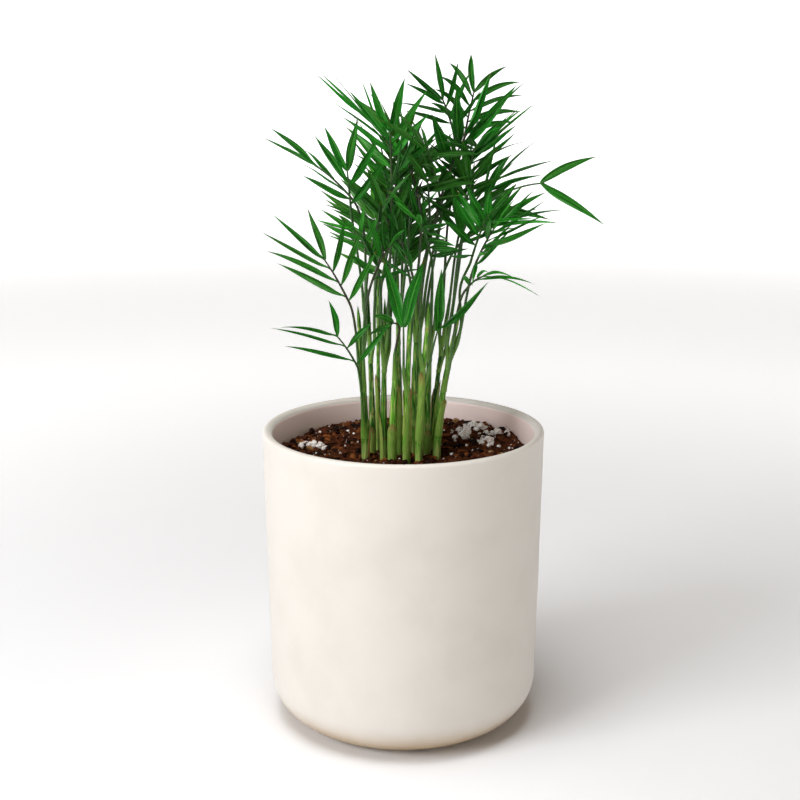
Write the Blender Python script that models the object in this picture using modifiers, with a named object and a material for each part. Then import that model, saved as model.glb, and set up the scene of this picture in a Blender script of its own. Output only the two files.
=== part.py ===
"""Potted parlour palm: a clump of seedling palms in a plain cylinder pot.

Lengths are in millimetres until a mesh is made, which is in metres.
The origin is the middle of the pot's flat underside, +Z is up and the front is -Y.
"""

import math
import random
from collections import namedtuple
from itertools import chain, count

import bmesh
import bpy
from mathutils import Matrix, Vector, noise
from mathutils.bvhtree import BVHTree

MM = 0.001
UP = Vector((0.0, 0.0, 1.0))
GAP = 0.3                      # clearance between neighbouring solids

# Pot
POT_RADIUS = 100.0             # outside, at the rim
POT_HEIGHT = 215.0
POT_TAPER = 3.0                # the wall draws in by this much down to the base curve
POT_BASE_CURVE = 33.0          # radius of the curve between wall and underside
POT_WALL = 7.0
POT_FLOOR = 9.0
LIP_OUTER = 2.6
LIP_INNER = 4.4
POT_STEPS = 48

# Potting mix
MIX_TOP = 193.0
MIX_RINGS = 7
MIX_STEPS = 32
MIX_LUMP = 3.0                 # height of the lumps
MIX_LUMP_SIZE = 17.0
MIX_SHOULDER = 12.0            # where the lumps start below the top
MIX_SLOPE = 0.05               # rise towards the back
MOUND = Vector((45.0, 42.0, 0.0))
MOUND_HEIGHT = 5.0
MOUND_SPREAD = 40.0
SOCKET_DEPTH = 20.0            # how far a cane goes down into the mix

# The largest perlite lumps, half sunk in the mix: x, y, radius
PERLITE = ((46, 34, 4.5), (62, 22, 4.0), (52, 52, 4.2), (70, 40, 3.6), (-66, 22, 3.8))

# Leaves
PETIOLE = 2.0                  # width and thickness where the leaf stalk starts
RACHIS_TIP = 1.0
BLADE = 0.55                   # thickness of a leaflet
STALK_STEP = 22.0              # length of one straight stretch of a stalk
FOOT = 3.0                     # how much rachis one leaflet's foot takes
ROWS = ((0.35, 1.0), (0.72, 0.7), (1.0, 0.0))   # along a leaflet: place, share of its width
CURL = 0.10                    # how far a leaflet bends to the frond's tip, as a share of its length
MARGIN = 0.45 + BLADE          # room kept around a growing leaflet
FOOT_MARGIN = 0.8              # and this much more at its foot, where it is as thick as the rachis
STALK_MARGIN = 0.6             # and around a growing stalk
NEAR_FOOT = 0.0                # leaflets are tested from here on against their neighbours
PAST_FOOT = 0.20               # and from here on against the others of their own frond

# Canes: x and y of the foot, x, y and z of the top, radius of the foot
CANES = (
    (-27, -5, -31, -12, 296, 2.9),
    (-22, 5, -25, 8, 306, 2.4),
    (-18, 13, -18, 22, 316, 1.8),
    (-14, -3, -13, -6, 300, 2.5),
    (-8, -10, -3, -18, 292, 2.9),
    (-3, 4, -4, 12, 322, 2.2),
    (2, -14, 4, -24, 296, 2.6),
    (7, -1, 10, 2, 316, 2.2),
    (11, -13, 17, -20, 300, 2.7),
    (17, 1, 20, 4, 310, 2.6),
    (9, 12, 13, 24, 306, 2.2),
    (21, 9, 33, 16, 306, 2.2),
    (24, -5, 38, -12, 296, 2.8),
)

Frond = namedtuple("Frond", "cane height crown tip arch roll pairs length width droop fork")

# Outer fronds: the cane and the height where the stalk leaves it, the crown point where the
# leaflets start, the tip of the rachis, its arch, its roll in degrees, the pairs of side
# leaflets, their length and width, how far they sag as a share of their length, and the
# angle of the last two from the rachis
OUTER_FRONDS = (
    Frond(0, 262, (-37, -22, 308), (-53, -42, 341), 3, 20, 3, 52, 4.7, 0.10, 16),
    Frond(0, 228, (-32, -22, 264), (-45, -46, 290), 3, 20, 2, 52, 4.3, 0.10, 20),
    Frond(1, 292, (-35, 0, 376), (-60, -3, 399), 4, 15, 2, 45, 5.1, 0.14, 16),
    Frond(1, 300, (-36, -8, 372), (-38, -16, 398), 2, 10, 2, 39, 6.0, 0.05, 16),
    Frond(2, 300, (-6, 8, 406), (-24, 8, 430), 3, 0, 3, 50, 3.9, 0.02, 16),
    Frond(3, 284, (-8, -14, 394), (-9, -22, 424), 3, 0, 3, 41, 6.0, 0.05, 16),
    Frond(10, 296, (42, 12, 418), (48, 4, 449), 3, -45, 4, 41, 4.3, 0.35, 20),
    Frond(10, 300, (34, 10, 422), (26, 2, 444), 3, 60, 3, 37, 3.9, 0.10, 18),
    Frond(7, 300, (31, -12, 396), (43, -24, 423), 4, -10, 2, 54, 8.2, 0.08, 14),
    Frond(12, 280, (50, -20, 372), (92, -34, 390), 7, -70, 1, 45, 6.0, 0.22, 32),
    Frond(11, 284, (38, 24, 386), (52, 25, 406), 4, -10, 3, 58, 4.7, 0.12, 16),
    Frond(9, 290, (38, -10, 346), (63, -22, 364), 4, -20, 3, 48, 6.4, 0.12, 16),
    Frond(12, 262, (42, -20, 316), (55, -32, 328), 4, -20, 2, 39, 3.9, 0.35, 20),
    Frond(3, 280, (-21, -20, 342), (-34, -34, 360), 3, 20, 3, 29, 4.7, 0.10, 16),
    Frond(11, 292, (44, 6, 366), (64, 2, 390), 5, -30, 2, 45, 4.7, 0.12, 16),
    Frond(6, 262, (0, -26, 290), (0, -27, 294), 0, 0, 0, 56, 8.6, 0.05, 15),
    Frond(8, 262, (23, -18, 286), (24, -19, 290), 0, 0, 0, 54, 8.6, 0.05, 15),
    Frond(4, 272, (-5, -24, 294), (-9, -26, 295), 0, 60, 0, 18, 4.7, 0.15, 20),
)

# Inner fronds fill the crown by rule
FRONDS = 40                    # with the outer ones
INNER_SEED = 11
INNER_SPAN = 24                # inner fronds from the bottom of the crown to its top
GOLDEN_ANGLE = math.radians(137.5)
LEAN = 0.14                    # the crown leans this much to +X as it rises
LEAST_SPREAD = 12.0            # angle of a leaflet from the rachis
ROLL = 30.0                    # a leaflet is turned round its own length by up to this many degrees
TURNS = (0, 40, -40, 80, -80, 120, -120)   # round its cane, in degrees, to find a stalk room
BOWS = (0.0, 4.0, 8.0, 12.0)   # and how far it may bow


def lerp(a, b, t):
    return a + (b - a) * t


def turned(vector, axis, degrees):
    return Matrix.Rotation(math.radians(degrees), 3, axis) @ vector


def across(vector, axis):
    """The part of a vector square to an axis, at unit length."""
    return (vector - axis * vector.dot(axis)).normalized()


# Growth plan

def cane_path(cane):
    """Centre points and radii, from the foot of the socket to the top."""
    x0, y0, x1, y1, top, radius = cane
    points = [(Vector((x0, y0, MIX_TOP - SOCKET_DEPTH)), radius * 0.9)]
    for share, size in ((0.0, 1.0), (0.12, 1.02), (0.3, 0.86), (0.5, 0.74), (0.75, 0.6), (1.0, 0.42)):
        lean = share ** 1.5
        z = lerp(MIX_TOP + 8.0, top, share)
        points.append((Vector((lerp(x0, x1, lean), lerp(y0, y1, lean), z)), radius * size))
    return points


def cane_at(cane, height):
    """Centre, direction and radius of a cane at a height."""
    points = cane_path(cane)
    for (low, low_r), (high, high_r) in zip(points, points[1:]):
        if height <= high.z:
            break
    share = (height - low.z) / (high.z - low.z)
    return low.lerp(high, share), (high - low).normalized(), lerp(low_r, high_r, share)


def stalk_points(frond, turn, bow):
    """The petiole's points from beside its cane up to the crown point."""
    crown, tip = Vector(frond.crown), Vector(frond.tip)
    centre, rise, radius = cane_at(CANES[frond.cane], frond.height)
    out = turned(across(crown - centre, rise), rise, turn)
    start = centre + out * (radius + PETIOLE * 0.75 + 0.8)
    bend = (crown + tip) / 2 + UP * frond.arch
    reach = (crown - start).length
    leave = (bend - crown).normalized()
    steps = max(4, round(reach / STALK_STEP))
    points = []
    for step in range(steps + 1):
        t = step / steps
        h = (2 * t ** 3 - 3 * t ** 2 + 1, t ** 3 - 2 * t ** 2 + t, 3 * t ** 2 - 2 * t ** 3, t ** 3 - t ** 2)
        point = start * h[0] + rise * reach * h[1] + crown * h[2] + leave * reach * 0.7 * h[3]
        points.append(point + bow * math.sin(math.pi * t) ** 2)
    return points, bend


def rachis_stations(length, pairs):
    """Distances along the rachis, and which side grows a leaflet on each stretch."""
    pitch = (length - FOOT) / max(pairs, 1)
    stations, feet = [0.0], []
    for pair in range(pairs):
        start = pair * pitch
        stations += [start + FOOT, start + 2 * FOOT, start + pitch]
        feet += [(1,), (-1,), ()]
    stations.append(length)
    feet.append((1, -1))
    return stations, feet


def frond_spine(frond, turn=0.0, bow=Vector()):
    """Points, tangents, side vectors, widths and leaflet feet along the whole frond."""
    crown, tip = Vector(frond.crown), Vector(frond.tip)
    points, bend = stalk_points(frond, turn, bow)
    stalk = len(points) - 1
    stations, feet = rachis_stations((tip - crown).length, frond.pairs)
    for station in stations[1:]:
        t = station / stations[-1]
        points.append(crown * (1 - t) ** 2 + bend * 2 * t * (1 - t) + tip * t ** 2)
    tangents = [(b - a).normalized() for a, b in zip(points, points[1:])]
    tangents.append(tangents[-1])
    sides = [None] * len(points)
    forward = tip - crown
    forward.z = 0.0
    sides[stalk] = turned(across(UP.cross(forward), tangents[stalk]), tangents[stalk], frond.roll)
    for i in range(stalk + 1, len(points)):
        sides[i] = across(sides[i - 1], tangents[i])
    for i in range(stalk - 1, -1, -1):
        sides[i] = across(sides[i + 1], tangents[i])
    last = len(points) - 1
    widths = [lerp(PETIOLE, RACHIS_TIP, i / last) for i in range(last + 1)]
    return {"points": points, "tangents": tangents, "sides": sides, "widths": widths,
            "feet": [()] * stalk + feet, "stalk": stalk}


def leaflet_rows(spine, leaflet, rows=ROWS):
    """Centre point, width direction and width at each row of one leaflet."""
    index, side, length, width, spread, lift, droop, roll = leaflet
    along = spine["tangents"][index]
    out = spine["sides"][index] * side
    face = spine["tangents"][index].cross(spine["sides"][index])
    edge = out * spine["widths"][index] / 2
    foot = (spine["points"][index] + spine["points"][index + 1]) / 2 + edge
    aim = along * math.cos(math.radians(spread)) + out * math.sin(math.radians(spread))
    aim = aim * math.cos(math.radians(lift)) + face * math.sin(math.radians(lift))
    result = []
    for place, share in rows:
        bend = along * CURL - UP * droop
        centre = foot + (aim * place + bend * place ** 2) * length
        tangent = (aim + bend * 2 * place).normalized()
        broad = across(along * math.sin(math.radians(spread)) - out * math.cos(math.radians(spread)), tangent)
        broad = turned(broad, tangent, roll * min(1.0, place / ROWS[0][0]))
        result.append((centre, broad, width * share))
    return result


# Clearance between what has grown

def loft(rings, start=0):
    """Polygons between rings of equal size whose points are listed in order."""
    size = len(rings[0])
    faces = []
    for row in range(len(rings) - 1):
        for i in range(size):
            j = (i + 1) % size
            a, b = start + row * size, start + (row + 1) * size
            faces.append((a + i, a + j, b + j, b + i))
    return [point for ring in rings for point in ring], faces


def ring_round(centre, axis, radius, corners=8):
    first = across(Vector((1.0, 0.2, 0.1)), axis)
    second = axis.cross(first)
    return [centre + (first * math.cos(a) + second * math.sin(a)) * radius
            for a in (math.tau * i / corners for i in range(corners))]


def cane_shell(cane):
    """The cane's surface with its top drawn in to a point."""
    path = cane_path(cane)
    top = path[-1][0] + UP * GAP
    return loft([ring_round(point, UP, radius) for point, radius in path + [(top, GAP * 0.1)]])


def spine_shell(spine, margin):
    rings = []
    for i in range(len(spine["points"])):
        half = spine["widths"][i] / 2 + margin
        side = spine["sides"][i] * half
        face = spine["tangents"][i].cross(spine["sides"][i]) * half
        centre = spine["points"][i]
        rings.append([centre + side + face, centre - side + face, centre - side - face, centre + side - face])
    return loft(rings)


def leaflet_shell(rows):
    """A closed sleeve round a leaflet, grown by the margin on every side."""
    axis = (rows[-1][0] - rows[0][0]).normalized()
    rings = []
    for row, (centre, broad, width) in enumerate(rows):
        margin = MARGIN + (0.0 if row else FOOT_MARGIN)
        side = broad * (width / 2 + margin)
        face = axis.cross(broad).normalized() * margin
        end = centre if width else centre + axis * margin
        rings.append([end + side + face, end - side + face, end - side - face, end + side - face])
    return loft(rings)


def leaflet_sheet(spine, leaflet):
    """The flat strip of one leaflet, from its foot's two points to its tip."""
    index, side = leaflet[:2]
    edge = spine["sides"][index] * side * spine["widths"][index] / 2
    points = [spine["points"][index] + edge, spine["points"][index + 1] + edge]
    faces = []
    for centre, broad, width in leaflet_rows(spine, leaflet):
        n = len(points)
        if width:
            points += [centre - broad * width / 2, centre + broad * width / 2]
            faces.append((n - 2, n - 1, n + 1, n))
        else:
            points.append(centre)
            faces.append((n - 2, n - 1, n))
    return points, faces


class Thicket:
    """Surfaces grown so far, to keep the next one clear of them."""

    def __init__(self, shells=()):
        self.points, self.faces, self.tree = [], [], None
        for shell in shells:
            self.add(shell)

    def add(self, shell):
        start = len(self.points)
        self.points += shell[0]
        self.faces += [tuple(i + start for i in face) for face in shell[1]]
        self.tree = None

    def blocks(self, shell):
        if not self.faces:
            return False
        if self.tree is None:
            self.tree = BVHTree.FromPolygons(self.points, self.faces)
        return bool(self.tree.overlap(BVHTree.FromPolygons(*shell)))


def inner_fronds():
    """Fronds that fill the crown, a golden angle apart, on each cane in turn."""
    draw = random.Random(INNER_SEED)
    for number in count():
        cane = (number * 5) % len(CANES)
        share = (number % INNER_SPAN) / INNER_SPAN
        angle = number * GOLDEN_ANGLE
        out = Vector((math.cos(angle) * 0.5, math.sin(angle), 0.0))
        crown = Vector((CANES[cane][2], CANES[cane][3], lerp(316.0, 388.0, share)))
        crown += out * lerp(20.0, 8.0, share)
        crown.x += LEAN * (crown.z - 316.0)
        rise = math.radians(draw.uniform(35.0, 65.0))
        length = draw.uniform(40.0, 52.0)
        tip = crown + (out * math.cos(rise) + UP * math.sin(rise)) * length
        height = CANES[cane][4] - draw.uniform(8.0, 34.0)
        yield Frond(cane, height, crown, tip, draw.uniform(4.0, 8.0), draw.uniform(-35.0, 35.0), 5,
                    draw.uniform(38.0, 50.0), draw.uniform(4.2, 6.2), draw.uniform(0.05, 0.20), 16)


def place_stalks(fronds):
    """A spine for each frond, its stalk swung and bowed until it clears the rest."""
    stems = Thicket(cane_shell(cane) for cane in CANES)
    tries = [(turn, side, bow) for bow in BOWS for side in range(0, 360, 60) for turn in TURNS
             if bow or not side]
    spines = []
    for frond in fronds:
        if len(spines) == FRONDS:
            break
        for turn, side, bow in tries:
            spine = frond_spine(frond, turn, turned(Vector((bow, 0.0, 0.0)), UP, side))
            if not stems.blocks(spine_shell(spine, STALK_MARGIN)):
                stems.add(spine_shell(spine, 0.0))
                spines.append((frond, spine))
                break
        else:
            print("no room for a stalk on cane", frond.cane + 1, "at", frond.height)
    return spines


def wanted_leaflets(number, frond, spine):
    """The leaflets a frond would grow if it stood alone, from its tip down."""
    draw = random.Random(number)
    last = len(spine["feet"]) - 1
    for index in range(last, spine["stalk"] - 1, -1):
        share = (index - spine["stalk"] + 1) / (last - spine["stalk"] + 1)
        for side in spine["feet"][index]:
            spread = lerp(52.0, 30.0, share) + draw.uniform(-6.0, 6.0)
            roll = draw.uniform(-ROLL, ROLL)
            droop = frond.droop + draw.uniform(-0.02, 0.12)
            length = frond.length * (0.80 + 0.25 * math.sin(math.pi * lerp(0.15, 0.8, share)))
            width = frond.width * draw.uniform(0.82, 1.0)
            if index == last:
                spread, width = frond.fork, frond.width
            yield (index, side, length, width, spread, draw.uniform(-4.0, 16.0), droop, roll)


def grow_plan():
    """Every frond's spine and leaflets, each leaflet turned or left out to stay clear."""
    spines = place_stalks(chain(OUTER_FRONDS, inner_fronds()))
    canes = [cane_shell(cane) for cane in CANES]
    changes = [(spread, lift, scale) for scale in (1.0, 0.85, 0.7, 0.55) for lift in range(-36, 37, 9)
               for spread in range(-14, 36, 7)]
    changes.sort(key=lambda c: abs(c[0]) / 7 + abs(c[1]) / 9 + (1 - c[2]) * 14)
    blades, plan = [], []
    for number, (frond, spine) in enumerate(spines):
        others = Thicket(canes + blades + [spine_shell(other, 0.0) for _, other in spines
                                           if other is not spine])
        own = Thicket()
        leaflets = []
        for index, side, length, width, spread, lift, droop, roll in wanted_leaflets(number, frond, spine):
            for more_spread, more_lift, scale in changes:
                if spread + more_spread < LEAST_SPREAD:
                    continue
                leaflet = (index, side, length * scale, width, spread + more_spread, lift + more_lift,
                           droop, roll)
                near = leaflet_shell(leaflet_rows(spine, leaflet, ((NEAR_FOOT, 0.4),) + ROWS))
                past = leaflet_shell(leaflet_rows(spine, leaflet, ((PAST_FOOT, 0.5),) + ROWS))
                if others.blocks(near) or own.blocks(past):
                    continue
                sheet = leaflet_sheet(spine, leaflet)
                own.add(sheet)
                blades.append(sheet)
                leaflets.append(leaflet)
                break
        plan.append((number, frond, spine, leaflets))
    return plan


# Modelling

def clear_scene():
    for item in list(bpy.data.objects):
        bpy.data.objects.remove(item, do_unlink=True)


def make_collection(name):
    collection = bpy.data.collections.new(name)
    bpy.context.scene.collection.children.link(collection)
    return collection


def make_material(name, colour, roughness):
    material = bpy.data.materials.new(name)
    material.use_nodes = True
    shader = material.node_tree.nodes["Principled BSDF"]
    shader.inputs["Base Color"].default_value = (*colour, 1.0)
    shader.inputs["Roughness"].default_value = roughness
    shader.inputs["Metallic"].default_value = 0.0
    return material


def place(name, data, collection, material=None, location=(0.0, 0.0, 0.0)):
    item = bpy.data.objects.new(name, data)
    item.location = Vector(location) * MM
    collection.objects.link(item)
    if material:
        data.materials.append(material)
    return item


def mesh_from(name, points, faces, edges=()):
    mesh = bpy.data.meshes.new(name)
    mesh.from_pydata([tuple(Vector(p) * MM) for p in points], list(edges), faces)
    mesh.update()
    return mesh


def arc(centre_x, centre_z, radius, start, end, steps):
    """Points of a round stretch of a profile; angles in degrees from +X."""
    angles = (math.radians(lerp(start, end, i / steps)) for i in range(steps + 1))
    return [(centre_x + radius * math.cos(a), centre_z + radius * math.sin(a)) for a in angles]


def turn_profile(name, profile, collection, material, steps):
    points = [(x, 0.0, z) for x, z in profile]
    edges = [(i, i + 1) for i in range(len(points) - 1)]
    item = place(name, mesh_from(name, points, [], edges), collection, material)
    screw = item.modifiers.new("turn", "SCREW")
    screw.steps = steps
    screw.render_steps = steps
    screw.use_merge_vertices = True
    screw.merge_threshold = 0.00001
    screw.use_smooth_shade = True
    return item


def inner_radius(z):
    """The pot's inner wall, which follows the outer taper."""
    share = (POT_HEIGHT - z) / (POT_HEIGHT - POT_BASE_CURVE)
    return POT_RADIUS - POT_WALL - POT_TAPER * share


def make_pot(collection, material):
    foot = POT_RADIUS - POT_TAPER
    curve = POT_BASE_CURVE
    inner_curve = curve - POT_WALL
    inside = inner_radius(POT_FLOOR + inner_curve)
    profile = [(0.0, POT_FLOOR)]
    profile += arc(inside - inner_curve, POT_FLOOR + inner_curve, inner_curve, -90, 0, 4)
    top = POT_HEIGHT
    profile += arc(inner_radius(top) + LIP_INNER, top - LIP_INNER, LIP_INNER, 180, 90, 3)
    profile += arc(POT_RADIUS - LIP_OUTER, top - LIP_OUTER, LIP_OUTER, 90, 0, 3)
    profile += arc(foot - curve, curve, curve, 0, -90, 5)
    profile.append((0.0, 0.0))
    return turn_profile("pot", profile, collection, material, POT_STEPS)


def mix_height(x, y):
    spot = Vector((x, y, 0.0))
    lumps = noise.noise(spot / MIX_LUMP_SIZE) + 0.5 * noise.noise(spot / MIX_LUMP_SIZE * 2.3)
    mound = math.exp(-((spot - MOUND).length / MOUND_SPREAD) ** 2)
    return MIX_TOP + MIX_SLOPE * y + MIX_LUMP * lumps + MOUND_HEIGHT * mound


def make_mix(collection, cutters, material):
    """A lumpy body that fills the pot to its floor, with a socket for each cane."""
    edge = inner_radius(MIX_TOP) - 3.0 * GAP
    curve = POT_BASE_CURVE - POT_WALL
    bend = inner_radius(POT_FLOOR + curve) - 3.0 * GAP - curve
    rings = [(x, z, False) for x, z in arc(bend, POT_FLOOR + curve + 3.0 * GAP, curve, -90, 0, 3)]
    rings.append((edge, MIX_TOP - MIX_SHOULDER, False))
    rings += [(edge * (1.0 - i / MIX_RINGS) ** 0.9, 0.0, True) for i in range(MIX_RINGS)]
    points, faces = [], []
    for radius, level, lumpy in rings:
        for i in range(MIX_STEPS):
            angle = math.tau * i / MIX_STEPS
            x, y = radius * math.cos(angle), radius * math.sin(angle)
            points.append((x, y, mix_height(x, y) if lumpy else level))
    for ring in range(len(rings) - 1):
        for i in range(MIX_STEPS):
            j = (i + 1) % MIX_STEPS
            a, b = ring * MIX_STEPS, (ring + 1) * MIX_STEPS
            faces.append((a + i, a + j, b + j, b + i))
    faces.append(tuple(reversed(range(MIX_STEPS))))
    points.append((0.0, 0.0, mix_height(0.0, 0.0)))
    inner = (len(rings) - 1) * MIX_STEPS
    faces += [(inner + i, inner + (i + 1) % MIX_STEPS, len(points) - 1) for i in range(MIX_STEPS)]
    mix = place("potting_mix", mesh_from("potting_mix", points, faces), collection, material)
    for number, (x, y, *_, radius) in enumerate(CANES):
        socket = bpy.data.meshes.new("socket")
        form = bmesh.new()
        wide = (radius * 1.02 + GAP) * MM
        bmesh.ops.create_cone(form, cap_ends=True, segments=12, radius1=wide, radius2=wide,
                              depth=2.0 * (SOCKET_DEPTH + GAP) * MM)
        form.to_mesh(socket)
        form.free()
        cut_out(mix, place(f"socket_{number + 1:02d}", socket, cutters, None, (x, y, MIX_TOP)))
    for number, (x, y, radius) in enumerate(PERLITE):
        pocket = lump_mesh(number, radius, GAP)
        cut_out(mix, place(f"pocket_{number + 1}", pocket, cutters, None, (x, y, mix_height(x, y))))
    return mix


def cut_out(body, cutter):
    cutter.display_type = "WIRE"
    cutter.hide_render = True
    cut = body.modifiers.new(cutter.name, "BOOLEAN")
    cut.operation = "DIFFERENCE"
    cut.object = cutter


def lump_mesh(number, radius, extra=0.0):
    """A knobbly grain, grown outwards by the extra."""
    form = bmesh.new()
    bmesh.ops.create_icosphere(form, subdivisions=2, radius=1.0)
    for vertex in form.verts:
        knobs = noise.noise(vertex.co * 1.3 + Vector((7.0 * number, 0.0, 0.0)))
        vertex.co *= (radius * (1.0 + 0.22 * knobs) + extra) * MM
        vertex.co.z *= 0.85
    mesh = bpy.data.meshes.new("lump")
    form.to_mesh(mesh)
    form.free()
    return mesh


def make_perlite(number, lump, collection, material):
    x, y, radius = lump
    mesh = lump_mesh(number, radius)
    mesh.shade_smooth()
    return place(f"perlite_{number + 1}", mesh, collection, material, (x, y, mix_height(x, y)))


def make_cane(number, cane, collection, material):
    path = cane_path(cane)
    name = f"cane_{number + 1:02d}"
    curve = bpy.data.curves.new(name, "CURVE")
    curve.dimensions = "3D"
    curve.bevel_depth = MM
    curve.bevel_resolution = 1
    curve.use_fill_caps = True
    line = curve.splines.new("POLY")
    line.points.add(len(path) - 1)
    origin = path[0][0]
    for knot, (point, radius) in zip(line.points, path):
        knot.co = (*((point - origin) * MM), 1.0)
        knot.radius = radius
    return place(name, curve, collection, material, origin)


def make_frond(number, spine, leaflets, collection, material):
    """One open sheet, stalk, rachis and leaflets together, thickened to a single solid."""
    origin = spine["points"][0]
    form = bmesh.new()
    layer = form.verts.layers.deform.verify()

    def knot(point, thickness):
        vertex = form.verts.new((point - origin) * MM)
        vertex[layer][0] = thickness / PETIOLE
        return vertex

    left, right = [], []
    for point, side, width in zip(spine["points"], spine["sides"], spine["widths"]):
        left.append(knot(point + side * width / 2, width))
        right.append(knot(point - side * width / 2, width))
    for i in range(len(left) - 1):
        form.faces.new((right[i], right[i + 1], left[i + 1], left[i]))
    for leaflet in leaflets:
        index, side = leaflet[:2]
        edge = left if side > 0 else right
        near, far = edge[index], edge[index + 1]
        for centre, broad, width in leaflet_rows(spine, leaflet):
            if width:
                corners = (knot(centre - broad * width / 2, BLADE), knot(centre + broad * width / 2, BLADE))
                ring = (near, far, corners[1], corners[0])
                form.faces.new(ring if side > 0 else tuple(reversed(ring)))
                near, far = corners
            else:
                ring = (near, far, knot(centre, BLADE))
                form.faces.new(ring if side > 0 else tuple(reversed(ring)))
    name = f"frond_{number + 1:02d}"
    mesh = bpy.data.meshes.new(name)
    form.to_mesh(mesh)
    form.free()
    frond = place(name, mesh, collection, material, origin)
    frond.vertex_groups.new(name="thickness")
    shell = frond.modifiers.new("thickness", "SOLIDIFY")
    shell.thickness = PETIOLE * MM
    shell.offset = 0.0
    shell.vertex_group = "thickness"
    return frond


def main():
    clear_scene()
    parts = make_collection("potted_palm")
    cutters = make_collection("cutters")
    stoneware = make_material("stoneware", (0.85, 0.81, 0.76), 0.45)
    mix = make_material("potting mix", (0.05, 0.028, 0.018), 0.95)
    stem = make_material("cane", (0.22, 0.36, 0.06), 0.5)
    leaf = make_material("leaf", (0.02, 0.18, 0.02), 0.4)
    grain = make_material("perlite", (0.8, 0.74, 0.7), 0.9)
    make_pot(parts, stoneware)
    make_mix(parts, cutters, mix)
    for number, lump in enumerate(PERLITE):
        make_perlite(number, lump, parts, grain)
    for number, cane in enumerate(CANES):
        make_cane(number, cane, parts, stem)
    for number, frond, spine, leaflets in grow_plan():
        make_frond(number, spine, leaflets, parts, leaf)
        print("frond", number + 1, "leaflets", len(leaflets), "of", frond.pairs * 2 + 2)


main()
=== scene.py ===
import math
import random
from collections import namedtuple
from itertools import chain, count

import bmesh
import bpy
from mathutils import Matrix, Vector, noise
from mathutils.bvhtree import BVHTree


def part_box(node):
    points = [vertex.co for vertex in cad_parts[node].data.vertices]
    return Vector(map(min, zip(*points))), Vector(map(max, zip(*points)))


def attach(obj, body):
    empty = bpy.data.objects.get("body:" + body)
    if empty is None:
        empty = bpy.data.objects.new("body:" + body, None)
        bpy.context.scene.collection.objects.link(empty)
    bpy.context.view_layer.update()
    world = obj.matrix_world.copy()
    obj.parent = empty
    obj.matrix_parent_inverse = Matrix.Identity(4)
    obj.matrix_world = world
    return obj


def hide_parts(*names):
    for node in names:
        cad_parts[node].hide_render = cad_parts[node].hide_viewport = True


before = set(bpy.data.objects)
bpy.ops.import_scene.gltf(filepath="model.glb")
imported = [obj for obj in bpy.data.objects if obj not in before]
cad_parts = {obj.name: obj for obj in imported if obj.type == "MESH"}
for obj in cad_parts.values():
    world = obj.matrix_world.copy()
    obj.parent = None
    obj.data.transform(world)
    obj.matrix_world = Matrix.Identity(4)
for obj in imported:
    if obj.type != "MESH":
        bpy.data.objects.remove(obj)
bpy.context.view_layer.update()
print("frame loaded:", len(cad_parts), "nodes")

mm = 0.001                     # lengths below are in millimetres until a mesh is made
up = Vector((0.0, 0.0, 1.0))


def lerp(a, b, t):
    return a + (b - a) * t


def ease(t):
    t = min(1.0, max(0.0, t))
    return t * t * (3.0 - 2.0 * t)


def turned(vector, axis, degrees):
    return Matrix.Rotation(math.radians(degrees), 3, axis) @ vector


def across(vector, axis):
    # the part of a vector square to an axis, at unit length
    return (vector - axis * vector.dot(axis)).normalized()


def aroundAxis(centre, axis, radius, corners=8):
    first = across(Vector((1.0, 0.2, 0.1)), axis)
    second = axis.cross(first)
    return [centre + (first * math.cos(a) + second * math.sin(a)) * radius
            for a in (math.tau * i / corners for i in range(corners))]


# How the palms grow. The frame's stems and fronds were grown by the same steps, so each
# finished piece lies where its plain one does

growth = {
    "mixTop": 193.0,
    "socketDepth": 20.0,      # how far a cane goes down into the mix
    "gap": 0.3,               # clearance between neighbours
    "fronds": 40,
    "petiole": 2.0,           # width of a leaf stalk where it starts
    "rachisTip": 1.0,
    "stalkStep": 22.0,        # length of one straight stretch of a stalk
    "foot": 3.0,              # how much rachis one leaflet's foot takes
    "blade": 0.55,            # thickness of a plain leaflet
    "curl": 0.10,             # bend of a leaflet to the frond's tip, as a share of its length
    "margin": 0.45,           # room kept round a growing leaflet
    "footMargin": 0.8,        # and this much more at its foot
    "stalkMargin": 0.6,
    "nearFoot": 0.0,          # leaflets are tested from here on against their neighbours
    "pastFoot": 0.20,         # and from here on against the others of their own frond
    "leastSpread": 12.0,      # angle of a leaflet from the rachis
    "roll": 30.0,             # degrees that a leaflet turns round its own length, at most
    "innerSeed": 11,
    "innerSpan": 24,          # inner fronds from the bottom of the crown to its top
    "goldenAngle": math.radians(137.5),
    "lean": 0.14,             # the crown leans this much to +X as it rises
}
leafletRowPlan = ((0.35, 1.0), (0.72, 0.7), (1.0, 0.0))   # along a leaflet: place, share of its width
stalkTurns = (0, 40, -40, 80, -80, 120, -120)
stalkBows = (0.0, 4.0, 8.0, 12.0)

# x and y of the foot, x, y and z of the top, radius of the foot
canes = (
    (-27, -5, -31, -12, 296, 2.9),
    (-22, 5, -25, 8, 306, 2.4),
    (-18, 13, -18, 22, 316, 1.8),
    (-14, -3, -13, -6, 300, 2.5),
    (-8, -10, -3, -18, 292, 2.9),
    (-3, 4, -4, 12, 322, 2.2),
    (2, -14, 4, -24, 296, 2.6),
    (7, -1, 10, 2, 316, 2.2),
    (11, -13, 17, -20, 300, 2.7),
    (17, 1, 20, 4, 310, 2.6),
    (9, 12, 13, 24, 306, 2.2),
    (21, 9, 33, 16, 306, 2.2),
    (24, -5, 38, -12, 296, 2.8),
)

Frond = namedtuple("Frond", "cane height crown tip arch roll pairs length width droop fork")

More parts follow.
